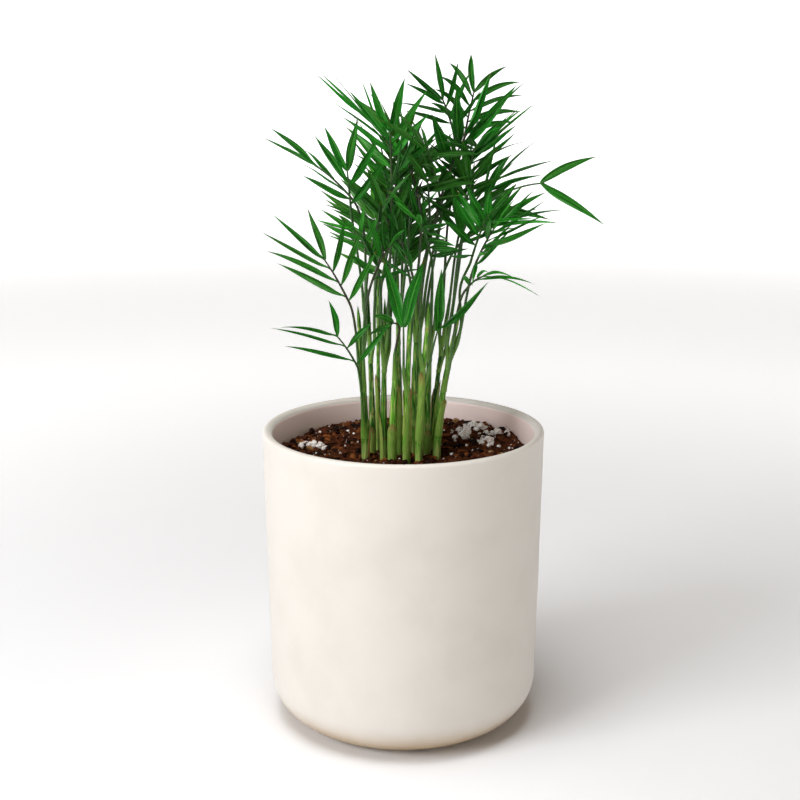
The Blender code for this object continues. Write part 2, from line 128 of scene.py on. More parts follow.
# cane and height where the stalk leaves it, crown point where the leaflets start, tip of the
# rachis, its arch, its roll, pairs of side leaflets, their length, width and sag, and the angle
# of the last two from the rachis
chosenFronds = (
    Frond(0, 262, (-37, -22, 308), (-53, -42, 341), 3, 20, 3, 48, 6.0, 0.10, 16),
    Frond(0, 228, (-32, -22, 264), (-45, -46, 290), 3, 20, 2, 48, 5.5, 0.10, 20),
    Frond(1, 292, (-35, 0, 376), (-60, -3, 399), 4, 15, 2, 42, 6.5, 0.14, 16),
    Frond(1, 300, (-36, -8, 372), (-38, -16, 398), 2, 10, 2, 36, 7.5, 0.05, 16),
    Frond(2, 300, (-6, 8, 406), (-24, 8, 430), 3, 0, 3, 46, 5.0, 0.02, 16),
    Frond(3, 284, (-8, -14, 394), (-9, -22, 424), 3, 0, 3, 38, 7.5, 0.05, 16),
    Frond(10, 296, (42, 12, 418), (48, 4, 449), 3, -45, 4, 38, 5.5, 0.35, 20),
    Frond(10, 300, (34, 10, 422), (26, 2, 444), 3, 60, 3, 34, 5.0, 0.10, 18),
    Frond(7, 300, (31, -12, 396), (43, -24, 423), 4, -10, 2, 50, 9.5, 0.08, 14),
    Frond(12, 280, (50, -20, 372), (92, -34, 390), 7, -70, 1, 42, 7.5, 0.22, 32),
    Frond(11, 284, (38, 24, 386), (52, 25, 406), 4, -10, 3, 56, 6.0, 0.12, 16),
    Frond(9, 290, (38, -10, 346), (63, -22, 364), 4, -20, 3, 44, 8.0, 0.12, 16),
    Frond(12, 262, (42, -20, 316), (55, -32, 328), 4, -20, 2, 36, 5.0, 0.35, 20),
    Frond(3, 280, (-21, -20, 342), (-34, -34, 360), 3, 20, 3, 27, 6.0, 0.10, 16),
    Frond(11, 292, (44, 6, 366), (64, 2, 390), 5, -30, 2, 42, 6.0, 0.12, 16),
    Frond(6, 262, (0, -26, 290), (0, -27, 294), 0, 0, 0, 54, 10.0, 0.05, 15),
    Frond(8, 262, (23, -18, 286), (24, -19, 290), 0, 0, 0, 52, 10.0, 0.05, 15),
    Frond(4, 272, (-5, -24, 294), (-9, -26, 295), 0, 60, 0, 17, 6.0, 0.15, 20),
)

# The leaflets are slimmer than first chosen, and a little longer. Each pair is the largest width or
# length that it goes for, and its factor
slimmer = ((6.9, 0.78), (8.9, 0.80), (math.inf, 0.86))
longer = ((51, 1.08), (math.inf, 1.04))


def scaled(value, factors, digits=None):
    factor = next(factor for limit, factor in factors if value <= limit)
    return round(value * factor, digits)


outerFronds = tuple(frond._replace(length=scaled(frond.length, longer),
                                   width=scaled(frond.width, slimmer, 1)) for frond in chosenFronds)


def canePath(cane):
    x0, y0, x1, y1, top, radius = cane
    points = [(Vector((x0, y0, growth["mixTop"] - growth["socketDepth"])), radius * 0.9)]
    for share, size in ((0.0, 1.0), (0.12, 1.02), (0.3, 0.86), (0.5, 0.74), (0.75, 0.6), (1.0, 0.42)):
        lean = share ** 1.5
        z = lerp(growth["mixTop"] + 8.0, top, share)
        points.append((Vector((lerp(x0, x1, lean), lerp(y0, y1, lean), z)), radius * size))
    return points


def caneAt(cane, height):
    # centre, direction and radius of a cane at a height
    points = canePath(cane)
    for (low, lowRadius), (high, highRadius) in zip(points, points[1:]):
        if height <= high.z:
            break
    share = (height - low.z) / (high.z - low.z)
    return low.lerp(high, share), (high - low).normalized(), lerp(lowRadius, highRadius, share)


def stalkCurve(frond, turn, bow):
    # the petiole from beside its cane up to the crown point, as a function of 0 to 1
    crown, tip = Vector(frond.crown), Vector(frond.tip)
    centre, rise, radius = caneAt(canes[frond.cane], frond.height)
    out = turned(across(crown - centre, rise), rise, turn)
    start = centre + out * (radius + growth["petiole"] * 0.75 + 0.8)
    bend = (crown + tip) / 2 + up * frond.arch
    reach = (crown - start).length
    leave = (bend - crown).normalized()

    def at(t):
        h = (2 * t ** 3 - 3 * t ** 2 + 1, t ** 3 - 2 * t ** 2 + t, 3 * t ** 2 - 2 * t ** 3, t ** 3 - t ** 2)
        point = start * h[0] + rise * reach * h[1] + crown * h[2] + leave * reach * 0.7 * h[3]
        return point + bow * math.sin(math.pi * t) ** 2

    return at, max(4, round(reach / growth["stalkStep"]))


def rachisAt(frond, t):
    crown, tip = Vector(frond.crown), Vector(frond.tip)
    bend = (crown + tip) / 2 + up * frond.arch
    return crown * (1 - t) ** 2 + bend * 2 * t * (1 - t) + tip * t ** 2


def rachisStations(length, pairs):
    # distances along the rachis, and which side grows a leaflet on each stretch
    pitch = (length - growth["foot"]) / max(pairs, 1)
    stations, feet = [0.0], []
    for pair in range(pairs):
        start = pair * pitch
        stations += [start + growth["foot"], start + 2 * growth["foot"], start + pitch]
        feet += [(1,), (-1,), ()]
    stations.append(length)
    feet.append((1, -1))
    return stations, feet


def frondSpine(frond, turn=0.0, bow=Vector()):
    # points, tangents, side vectors, widths and leaflet feet along the whole frond
    crown, tip = Vector(frond.crown), Vector(frond.tip)
    stalkAt, stalk = stalkCurve(frond, turn, bow)
    points = [stalkAt(step / stalk) for step in range(stalk + 1)]
    stations, feet = rachisStations((tip - crown).length, frond.pairs)
    points += [rachisAt(frond, station / stations[-1]) for station in stations[1:]]
    tangents = [(b - a).normalized() for a, b in zip(points, points[1:])]
    tangents.append(tangents[-1])
    sides = [None] * len(points)
    forward = tip - crown
    forward.z = 0.0
    sides[stalk] = turned(across(up.cross(forward), tangents[stalk]), tangents[stalk], frond.roll)
    for i in range(stalk + 1, len(points)):
        sides[i] = across(sides[i - 1], tangents[i])
    for i in range(stalk - 1, -1, -1):
        sides[i] = across(sides[i + 1], tangents[i])
    last = len(points) - 1
    widths = [lerp(growth["petiole"], growth["rachisTip"], i / last) for i in range(last + 1)]
    return {"points": points, "tangents": tangents, "sides": sides, "widths": widths,
            "feet": [()] * stalk + feet, "stalk": stalk, "stalkAt": stalkAt, "stations": stations}


def leafletLine(spine, leaflet):
    # foot, first direction and bend of a leaflet's midrib, and the way its width lies
    index, side, _, _, spread, lift, droop, _ = leaflet
    along = spine["tangents"][index]
    out = spine["sides"][index] * side
    face = spine["tangents"][index].cross(spine["sides"][index])
    edge = out * spine["widths"][index] / 2
    foot = (spine["points"][index] + spine["points"][index + 1]) / 2 + edge
    aim = along * math.cos(math.radians(spread)) + out * math.sin(math.radians(spread))
    aim = aim * math.cos(math.radians(lift)) + face * math.sin(math.radians(lift))
    bend = along * growth["curl"] - up * droop
    wide = along * math.sin(math.radians(spread)) - out * math.cos(math.radians(spread))
    return foot, edge, aim, bend, wide


def leafletRows(spine, leaflet, rows=leafletRowPlan):
    # centre, width direction and width at each row of a plain leaflet
    length, width, *_, roll = leaflet[2:]
    foot, _, aim, bend, wide = leafletLine(spine, leaflet)
    result = []
    for place, share in rows:
        centre = foot + (aim * place + bend * place ** 2) * length
        tangent = (aim + bend * 2 * place).normalized()
        broad = turned(across(wide, tangent), tangent, roll * min(1.0, place / leafletRowPlan[0][0]))
        result.append((centre, broad, width * share))
    return result


def loft(rings):
    size = len(rings[0])
    faces = []
    for row in range(len(rings) - 1):
        for i in range(size):
            j = (i + 1) % size
            a, b = row * size, (row + 1) * size
            faces.append((a + i, a + j, b + j, b + i))
    return [point for ring in rings for point in ring], faces


def fourRound(centre, side, face):
    return [centre + side + face, centre - side + face, centre - side - face, centre + side - face]


def caneShell(cane):
    path = canePath(cane)
    top = path[-1][0] + up * growth["gap"]
    return loft([aroundAxis(point, up, radius) for point, radius in path + [(top, growth["gap"] * 0.1)]])


def spineShell(spine, margin):
    rings = []
    for i in range(len(spine["points"])):
        half = spine["widths"][i] / 2 + margin
        side = spine["sides"][i] * half
        face = spine["tangents"][i].cross(spine["sides"][i]) * half
        rings.append(fourRound(spine["points"][i], side, face))
    return loft(rings)


def leafletShell(rows):
    # a sleeve round a leaflet, grown by the margin on every side
    axis = (rows[-1][0] - rows[0][0]).normalized()
    rings = []
    for row, (centre, broad, width) in enumerate(rows):
        margin = growth["margin"] + growth["blade"] + (0.0 if row else growth["footMargin"])
        side = broad * (width / 2 + margin)
        face = axis.cross(broad).normalized() * margin
        end = centre if width else centre + axis * margin
        rings.append(fourRound(end, side, face))
    return loft(rings)


def leafletSheet(spine, leaflet):
    # the flat strip of a plain leaflet, from its foot's two points to its tip
    index, side = leaflet[:2]
    edge = spine["sides"][index] * side * spine["widths"][index] / 2
    points = [spine["points"][index] + edge, spine["points"][index + 1] + edge]
    faces = []
    for centre, broad, width in leafletRows(spine, leaflet):
        n = len(points)
        if width:
            points += [centre - broad * width / 2, centre + broad * width / 2]
            faces.append((n - 2, n - 1, n + 1, n))
        else:
            points.append(centre)
            faces.append((n - 2, n - 1, n))
    return points, faces


class Thicket:
    # surfaces grown so far, to keep the next one clear of them
    def __init__(self, shells=()):
        self.points, self.faces, self.tree = [], [], None
        for shell in shells:
            self.add(shell)

    def add(self, shell):
        start = len(self.points)
        self.points += shell[0]
        self.faces += [tuple(i + start for i in face) for face in shell[1]]
        self.tree = None

    def blocks(self, shell):
        if not self.faces:
            return False
        if self.tree is None:
            self.tree = BVHTree.FromPolygons(self.points, self.faces)
        return bool(self.tree.overlap(BVHTree.FromPolygons(*shell)))


def innerFronds():
    # fronds that fill the crown, a golden angle apart, on each cane in turn
    draw = random.Random(growth["innerSeed"])
    for number in count():
        cane = (number * 5) % len(canes)
        share = (number % growth["innerSpan"]) / growth["innerSpan"]
        angle = number * growth["goldenAngle"]
        out = Vector((math.cos(angle) * 0.5, math.sin(angle), 0.0))
        crown = Vector((canes[cane][2], canes[cane][3], lerp(316.0, 388.0, share)))
        crown += out * lerp(20.0, 8.0, share)
        crown.x += growth["lean"] * (crown.z - 316.0)
        rise = math.radians(draw.uniform(35.0, 65.0))
        length = draw.uniform(40.0, 52.0)
        tip = crown + (out * math.cos(rise) + up * math.sin(rise)) * length
        height = canes[cane][4] - draw.uniform(8.0, 34.0)
        yield Frond(cane, height, crown, tip, draw.uniform(4.0, 8.0), draw.uniform(-35.0, 35.0), 5,
                    draw.uniform(38.0, 50.0), draw.uniform(4.2, 6.2), draw.uniform(0.05, 0.20), 16)


def placeStalks(fronds):
    # a spine for each frond, its stalk swung and bowed until it clears the rest
    stems = Thicket(caneShell(cane) for cane in canes)
    tries = [(turn, side, bow) for bow in stalkBows for side in range(0, 360, 60) for turn in stalkTurns
             if bow or not side]
    spines = []
    for frond in fronds:
        if len(spines) == growth["fronds"]:
            break
        for turn, side, bow in tries:
            spine = frondSpine(frond, turn, turned(Vector((bow, 0.0, 0.0)), up, side))
            if not stems.blocks(spineShell(spine, growth["stalkMargin"])):
                stems.add(spineShell(spine, 0.0))
                spines.append((frond, spine))
                break
    return spines


def wantedLeaflets(number, frond, spine):
    # the leaflets a frond would grow if it stood alone, from its tip down
    draw = random.Random(number)
    last = len(spine["feet"]) - 1
    for index in range(last, spine["stalk"] - 1, -1):
        share = (index - spine["stalk"] + 1) / (last - spine["stalk"] + 1)
        for side in spine["feet"][index]:
            spread = lerp(52.0, 30.0, share) + draw.uniform(-6.0, 6.0)
            roll = draw.uniform(-growth["roll"], growth["roll"])
            droop = frond.droop + draw.uniform(-0.02, 0.12)
            length = frond.length * (0.80 + 0.25 * math.sin(math.pi * lerp(0.15, 0.8, share)))
            width = frond.width * draw.uniform(0.82, 1.0)
            if index == last:
                spread, width = frond.fork, frond.width
            yield (index, side, length, width, spread, draw.uniform(-4.0, 16.0), droop, roll)


def growPlan():
    # every frond's spine and leaflets, each leaflet turned or left out to stay clear
    spines = placeStalks(chain(outerFronds, innerFronds()))
    shells = [caneShell(cane) for cane in canes]
    changes = [(spread, lift, scale) for scale in (1.0, 0.85, 0.7, 0.55) for lift in range(-36, 37, 9)
               for spread in range(-14, 36, 7)]
    changes.sort(key=lambda c: abs(c[0]) / 7 + abs(c[1]) / 9 + (1 - c[2]) * 14)
    blades, plan = [], []
    for number, (frond, spine) in enumerate(spines):
        others = Thicket(shells + blades + [spineShell(other, 0.0) for _, other in spines
                                            if other is not spine])
        own = Thicket()
        leaflets = []
        for index, side, length, width, spread, lift, droop, roll in wantedLeaflets(number, frond, spine):
            for moreSpread, moreLift, scale in changes:
                if spread + moreSpread < growth["leastSpread"]:
                    continue
                leaflet = (index, side, length * scale, width, spread + moreSpread, lift + moreLift,
                           droop, roll)
                near, past = (leafletShell(leafletRows(spine, leaflet, (start,) + leafletRowPlan))
                              for start in ((growth["nearFoot"], 0.4), (growth["pastFoot"], 0.5)))
                if others.blocks(near) or own.blocks(past):
                    continue
                sheet = leafletSheet(spine, leaflet)
                own.add(sheet)
                blades.append(sheet)
                leaflets.append(leaflet)
                break
        plan.append((number, frond, spine, leaflets))
    return plan


palms = growPlan()


def slipFrom(node, points):
    # how far points lie outside a node's box, in millimetres
    low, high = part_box(node)
    return max(max(low[i] / mm - point[i], point[i] - high[i] / mm) for point in points for i in range(3))


slip = max(slipFrom(f"frond_{number + 1:02d}", points) for number, frond, spine, leaflets in palms
           for points in [spine["points"]] + [leafletSheet(spine, leaflet)[0] for leaflet in leaflets])
print("palms grown:", len(palms), "fronds,", sum(len(row[3]) for row in palms), "leaflets,",
      f"at most {slip:.3f} mm outside the frame's")


# Colour and material helpers

def colour(text):
    channels = [int(text[i:i + 2], 16) / 255 for i in (0, 2, 4)]
    linear = [c / 12.92 if c <= 0.04045 else ((c + 0.055) / 1.055) ** 2.4 for c in channels]
    return (*linear, 1.0)


def addNode(tree, kind, out=0, inputs=None, **settings):
    # one node with its settings, fixed values and links; gives back one of its outputs
    node = tree.nodes.new("ShaderNode" + kind)
    for key, value in settings.items():
        setattr(node, key, value)
    for key, value in (inputs or {}).items():
        if isinstance(value, bpy.types.NodeSocket):
            tree.links.new(value, node.inputs[key])
        else:
            node.inputs[key].default_value = colour(value) if isinstance(value, str) else value
    return node.outputs[out]


def newMaterial(name, roughness, ior, marks=(), patterns=None):
    # with a field for each number that a Form keeps and each noise pattern; a pattern is the size of
    # its blotches in mm, detail, roughness and, where it is uneven, the stretch of its axes
    material = bpy.data.materials.new(name)
    material.use_nodes = True
    tree = material.node_tree
    shader = tree.nodes["Principled BSDF"]
    shader.inputs["Roughness"].default_value = roughness
    shader.inputs["IOR"].default_value = ior
    fields = {mark: addNode(tree, "Attribute", "Fac", attribute_name=mark) for mark in marks}
    fields["place"] = addNode(tree, "TexCoord", "Object")
    for key, (size, detail, grit, *stretch) in (patterns or {}).items():
        placed = addNode(tree, "Mapping", 0, {"Vector": fields["place"], "Scale": stretch or (1.0, 1.0, 1.0)})
        fields[key] = addNode(tree, "TexNoise", "Fac", {"Vector": placed, "Scale": 1.0 / (size * mm),
                                                        "Detail": detail, "Roughness": grit})
    return material, tree, shader, fields


def dress(tree, shader, fields, base, layers, heights):
    # colours laid one over another, then the relief. A layer is (field, where it starts, where it is
    # full, strength there, colour), a height is (field, mm, strength)
    for key, start, full, strength, paint in layers:
        share = addNode(tree, "MapRange", 0, {"Value": fields[key], "From Min": start, "From Max": full,
                                              "To Max": strength}, interpolation_type="SMOOTHSTEP")
        base = addNode(tree, "Mix", 2, {0: share, 6: base, 7: paint}, data_type="RGBA")
    tree.links.new(base, shader.inputs["Base Color"])
    normal = None
    for key, depth, strength in heights:
        inputs = {"Height": fields[key], "Distance": depth * mm, "Strength": strength}
        normal = addNode(tree, "Bump", 0, inputs | ({"Normal": normal} if normal else {}))
    tree.links.new(normal, shader.inputs["Normal"])


def glowThrough(shader, weight, reach, scale):
    # light that sinks into a living or papery piece and comes back; reach by colour, scale in mm
    shader.inputs["Subsurface Weight"].default_value = weight
    shader.inputs["Subsurface Radius"].default_value = reach
    shader.inputs["Subsurface Scale"].default_value = scale * mm


# Mesh helpers

class Form:
    # points, faces, a material for each face and named numbers for each point
    def __init__(self, *marks):
        self.points, self.faces, self.paints = [], [], []
        self.marks = {mark: [] for mark in marks}

    def addPoint(self, point, marks):
        self.points.append(point)
        for name, values in self.marks.items():
            values.append(marks.get(name, 0.0))
        return len(self.points) - 1

    def addFace(self, face, paint=0):
        self.faces.append(tuple(face))
        self.paints.append(paint)

    def addShape(self, points, faces, paint=0, **marks):
        start = len(self.points)
        for point in points:
            self.addPoint(point, marks)
        for face in faces:
            self.addFace([start + i for i in face], paint)

    def addTube(self, rings, paints, tip=None, **marks):
        # rings are (points, marks) from the foot up, right-handed about the way they rise; there is
        # a paint for each side, and the last ring closes on the tip, or flat
        rings = [(points, own if isinstance(own, list) else [own] * len(points)) for points, own in rings]
        rows = [[self.addPoint(point, marks | extra) for point, extra in zip(points, own)]
                for points, own in rings]
        size = len(rows[0])
        for low, high in zip(rows, rows[1:]):
            for i in range(size):
                j = (i + 1) % size
                self.addFace((low[i], low[j], high[j], high[i]), paints[i % len(paints)])
        self.addFace(reversed(rows[0]), paints[0])
        if tip is None:
            self.addFace(rows[-1], paints[0])
            return
        end = self.addPoint(tip, marks | rings[-1][1][0])
        for i in range(size):
            self.addFace((rows[-1][i], rows[-1][(i + 1) % size], end), paints[i % len(paints)])

    def finish(self, name, materials, nodes=(), sharp=None):
        mesh = bpy.data.meshes.new(name)
        mesh.from_pydata([tuple(point * mm) for point in self.points], [], self.faces)
        for material in materials:
            mesh.materials.append(material)
        mesh.polygons.foreach_set("material_index", self.paints)
        for key, values in self.marks.items():
            mesh.attributes.new(key, "FLOAT", "POINT").data.foreach_set("value", values)
        mesh.shade_smooth()
        if sharp:
            mesh.set_sharp_from_angle(angle=math.radians(sharp))
        mesh.update()
        piece = bpy.data.objects.new(name, mesh)
        bpy.context.scene.collection.objects.link(piece)
        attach(piece, "root")
        if nodes:
            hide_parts(*nodes)


def lump(draw, size, flat=(1.0, 1.0, 1.0), rough=0.35, level=1, knobs=1.6):
    # a knobbly grain round the origin, turned at random
    form = bmesh.new()
    bmesh.ops.create_icosphere(form, subdivisions=level, radius=1.0)
    shift = Vector([draw.uniform(-50.0, 50.0) for _ in range(3)])
    spin = Matrix.Rotation(draw.uniform(0.0, math.tau), 3, "Z")
    spin = spin @ Matrix.Rotation(draw.uniform(-0.7, 0.7), 3, "X")
    points = []
    for vertex in form.verts:
        bumps = noise.noise(vertex.co * knobs + shift) + 0.4 * noise.noise(vertex.co * knobs * 2.7 + shift)
        reach = size * (1.0 + rough * bumps)
        points.append(spin @ Vector([vertex.co[i] * reach * flat[i] for i in range(3)]))
    form.verts.index_update()
    faces = [[vertex.index for vertex in face.verts] for face in form.faces]
    form.free()
    return points, faces


def moved(shape, by):
    return [point + by for point in shape[0]], shape[1]


def arc(centreX, centreZ, radius, start, end, steps):
    angles = (math.radians(lerp(start, end, i / steps)) for i in range(steps + 1))
    return [(centreX + radius * math.cos(a), centreZ + radius * math.sin(a)) for a in angles]


def between(start, end, steps):
    return [(lerp(start[0], end[0], i / steps), lerp(start[1], end[1], i / steps)) for i in range(1, steps)]


# Pot

potLook = {
    "glaze": "D8D2C9",
    "shade": "D4CDC3",        # thinner glaze, in soft clouds
    # the inside is lighter and pinker than the outside glaze: painted bounce light
    "inside": "FFE8E0",
    "foot": "A98E68",         # painted shade: a darker tan band towards the base
    "footShadeLine": 26.0,         # mm, height where the painted shade at the foot starts
    "roughness": 0.48,
    "turns": 216,             # points round the pot
    "waver": 0.3,             # mm, how uneven the wall is
    "wall": 7.0,
    "floor": 9.0,
    "baseCurve": 33.0,
    "taper": 3.0,
    "outerLip": 2.6,
    "innerLip": 4.4,
}
potLow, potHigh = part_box("pot")
potRadius, potHeight = potHigh.x / mm, potHigh.z / mm


def stonewareGlaze(name, paint, shows):
    # stoneware dipped in a thick matt glaze: broad soft highlight, faint clouds and fine pits
    material, tree, shader, fields = newMaterial(name, potLook["roughness"], 1.52, (), {
        "clouds": (38.0, 4.0, 0.5),
        "pits": (5.5, 4.0, 0.5),
        "sand": (1.1, 3.0, 0.5),
    })
    layers = [("sand", 0.66, 0.80, 0.12, "BCA68C")]
    if shows:
        # painted shade: the glaze darkens to tan towards the foot, up to a ragged line
        height = addNode(tree, "SeparateXYZ", "Z", {0: fields["place"]})
        fields["height"] = addNode(tree, "Math", 0, {0: fields["clouds"], 1: -5.0 * mm, 2: height},
                                   operation="MULTIPLY_ADD")
        layers = [("clouds", 0.40, 0.75, 1.0, potLook["shade"]),
                  ("height", potLook["footShadeLine"] * mm, -1.0 * mm, 1.0, potLook["foot"])] + layers
    heights = [("clouds", 1.0, 0.05), ("pits", 0.32, 0.28), ("sand", 0.05, 0.15)]
    dress(tree, shader, fields, paint, layers, heights)
    return material


def innerRadius(z):
    share = (potHeight - z) / (potHeight - potLook["baseCurve"])
    return potRadius - potLook["wall"] - potLook["taper"] * share


def makePot():
    foot = potRadius - potLook["taper"]
    curve, lipOut, lipIn = potLook["baseCurve"], potLook["outerLip"], potLook["innerLip"]
    hollow = curve - potLook["wall"]
    hollowHeight = potLook["floor"] + hollow
    floor = arc(innerRadius(hollowHeight) - hollow, hollowHeight, hollow, -90, 0, 10)
    inner = arc(innerRadius(potHeight) + lipIn, potHeight - lipIn, lipIn, 180, 90, 9)
    outer = arc(potRadius - lipOut, potHeight - lipOut, lipOut, 90, 0, 7)
    under = arc(foot - curve, curve, curve, 0, -90, 18)
    inside = floor + between(floor[-1], inner[0], 24) + inner
    profile = inside + outer + between(outer[-1], under[0], 34) + under
    form = Form()
    rows = []
    turns = potLook["turns"]
    for x, z in profile:
        calm = ease(z / curve) * (0.25 + 0.75 * ease((potHeight - z) / 16.0))
        row = []
        for i in range(turns):
            angle = math.tau * i / turns
            out = Vector((math.cos(angle), math.sin(angle), 0.0))
            spot = out * x + up * z
            waver = noise.noise(spot / 38.0) + 0.35 * noise.noise(spot / 15.0)
            row.append(form.addPoint(spot + out * waver * calm * potLook["waver"], {}))
        rows.append(row)
    for number, (low, high) in enumerate(zip(rows, rows[1:])):
        for i in range(turns):
            j = (i + 1) % turns
            form.addFace((low[i], high[i], high[j], low[j]), 1 if number < len(inside) - 8 else 0)
    form.addFace(rows[0], 1)
    form.addFace(reversed(rows[-1]), 0)
    outside = stonewareGlaze("stoneware, matt glaze outside, painted shade at foot", potLook["glaze"], True)
    # the inside glaze is the same glaze, lighter and pinker as painted bounce light
    paintedBounceGlaze = stonewareGlaze("stoneware glaze inside, painted bounce light", potLook["inside"], False)
    form.finish("glazed_pot", [outside, paintedBounceGlaze], ["pot"], 45)


makePot()
print("pot turned and glazed")


# Potting mix, with what lies on it

mixLook = {
    "peat": "2A1308",
    "crumb": "4C230C",
    "bark": "7E481F",
    "fibre": "B08C5A",
    "rings": 84,
    "turns": 288,
    "crumbs": 2200,
    "chips": 170,
    "fibres": 110,
    "grains": 620,            # small grains of perlite
    "relief": 1.5,            # mm, crumbly height over the frame's lumps
    "lump": 3.0,
    "lumpSize": 17.0,
    "shoulder": 12.0,
    "slope": 0.05,            # rise towards the back
    "moundHeight": 5.0,
    "moundSpread": 40.0,
}
mound = Vector((45.0, 42.0, 0.0))
perliteLumps = ((46, 34, 4.5), (62, 22, 4.0), (52, 52, 4.2), (70, 40, 3.6), (-66, 22, 3.8))   # x, y, radius


def mixHeight(x, y):
    spot = Vector((x, y, 0.0))
    lumps = noise.noise(spot / mixLook["lumpSize"]) + 0.5 * noise.noise(spot / mixLook["lumpSize"] * 2.3)
    heap = math.exp(-((spot - mound).length / mixLook["moundSpread"]) ** 2)
    return growth["mixTop"] + mixLook["slope"] * y + mixLook["lump"] * lumps + mixLook["moundHeight"] * heap


def crumbly(x, y):
    # the finished surface: clods and hollows of 3 to 10 mm over the frame's height
    spot = Vector((x, y, 0.0))
    clods = abs(noise.noise(spot / 5.5)) * 1.5 + 0.55 * noise.noise(spot / 2.3)
    clods += 0.3 * noise.noise(spot / 1.1)
    return mixHeight(x, y) + mixLook["relief"] * (clods - 0.35)


def peatMix(name):
    # moist peat and bark, loosely heaped: dark peat, brown and matt on the crumbs; the colour follows the
    # same noise as the relief, so the hollows are nearly black as painted shade
    material, tree, shader, fields = newMaterial(name, 0.86, 1.45, (), {
        "clods": (5.0, 5.0, 0.65),
        "crumbs": (0.9, 3.0, 0.60),
    })
    shader.inputs["Specular IOR Level"].default_value = 0.12
    dress(tree, shader, fields, mixLook["peat"], [
        ("clods", 0.35, 0.68, 1.0, mixLook["crumb"]),
        ("crumbs", 0.50, 0.72, 0.7, mixLook["bark"]),
    ], [("clods", 1.6, 0.7), ("crumbs", 0.5, 0.6)])
    return material


def barkCrumb(name):
    # composted bark, broken small: each crumb its own brown, with a ragged matt face
    material, tree, shader, fields = newMaterial(name, 0.8, 1.47, ("tone",), {
        "fibres": (0.7, 3.0, 0.5, 1.0, 1.0, 2.5),
    })
    shader.inputs["Specular IOR Level"].default_value = 0.15
    dress(tree, shader, fields, "1A0B05", [
        ("tone", 0.10, 0.62, 1.0, mixLook["crumb"]),
        ("tone", 0.60, 0.92, 1.0, mixLook["bark"]),
        ("tone", 0.93, 1.00, 1.0, mixLook["fibre"]),
        ("fibres", 0.45, 0.80, 0.5, "160B06"),
    ], [("fibres", 0.3, 0.6)])
    return material


def expandedPerlite(name):
    # volcanic glass puffed by heat: chalky white froth, stained tan by the peat in blotches, with small dark
    # brown spots that are painted shade in its pores
    material, tree, shader, fields = newMaterial(name, 0.72, 1.5, (), {
        "froth": (0.55, 3.0, 0.6),
        "stain": (2.2, 3.0, 0.5),
    })
    dress(tree, shader, fields, "FFFBF6", [
        ("stain", 0.44, 0.70, 0.6, "BE9C84"),
        ("froth", 0.54, 0.68, 0.8, "5A3424"),
    ], [("froth", 0.5, 0.7)])
    return material


def onTheMix(draw, bias=0.5, inset=2.5):
    # a place on the mix, clear of the wall
    reach = (innerRadius(growth["mixTop"]) - inset) * draw.random() ** bias
    angle = draw.uniform(0.0, math.tau)
    return reach * math.cos(angle), reach * math.sin(angle)


def makeMix():
    edge = innerRadius(growth["mixTop"]) - 0.5
    hollow = potLook["baseCurve"] - potLook["wall"]
    bend = innerRadius(potLook["floor"] + hollow) - 1.0 - hollow
    skirt = arc(bend, potLook["floor"] + hollow + 1.0, hollow, -90, 0, 4)
    skirt += between(skirt[-1], (edge, growth["mixTop"] - mixLook["shoulder"]), 4)
    form = Form()
    turns, rings = mixLook["turns"], mixLook["rings"]
    rows = []
    for i in range(len(skirt) + rings):
        row = []
        for j in range(turns):
            angle = math.tau * j / turns
            if i < len(skirt):
                x, z = skirt[i]
                row.append(form.addPoint(Vector((math.cos(angle) * x, math.sin(angle) * x, z)), {}))
            else:
                x = edge * (1.0 - (i - len(skirt)) / rings)
                x, y = x * math.cos(angle), x * math.sin(angle)
                row.append(form.addPoint(Vector((x, y, crumbly(x, y))), {}))
        rows.append(row)
    for low, high in zip(rows, rows[1:]):
        for i in range(turns):
            j = (i + 1) % turns
            form.addFace((low[i], low[j], high[j], high[i]))
    form.addFace(reversed(rows[0]))
    middle = form.addPoint(Vector((0.0, 0.0, crumbly(0.0, 0.0))), {})
    for i in range(turns):
        form.addFace((rows[-1][i], rows[-1][(i + 1) % turns], middle))
    form.finish("peat_mix", [peatMix("peat and bark mix, loosely filled")], ["potting_mix"])


def makeCrumbs():
    draw = random.Random(5)
    form = Form("tone")
    for _ in range(mixLook["crumbs"]):
        x, y = onTheMix(draw)
        size = lerp(0.5, 2.9, draw.random() ** 3.0)
        flat = (draw.uniform(0.8, 1.5), draw.uniform(0.7, 1.1), draw.uniform(0.5, 0.9))
        shape = lump(draw, size, flat, 0.8, 2 if size > 1.2 else 1)
        form.addShape(*moved(shape, Vector((x, y, crumbly(x, y) + size * draw.uniform(-0.1, 0.5)))),
                      tone=draw.random())
    for _ in range(mixLook["chips"]):
        x, y = onTheMix(draw)
        size = draw.uniform(1.2, 2.6)
        shape = lump(draw, size, (draw.uniform(1.5, 2.6), draw.uniform(0.6, 1.0), 0.32), 0.5, 2)
        place = Vector((x, y, crumbly(x, y) + size * 0.3))
        form.addShape(*moved(shape, place), tone=draw.uniform(0.4, 0.93))
    form.finish("mix_crumbs", [barkCrumb("composted bark, crumbled")], sharp=38)


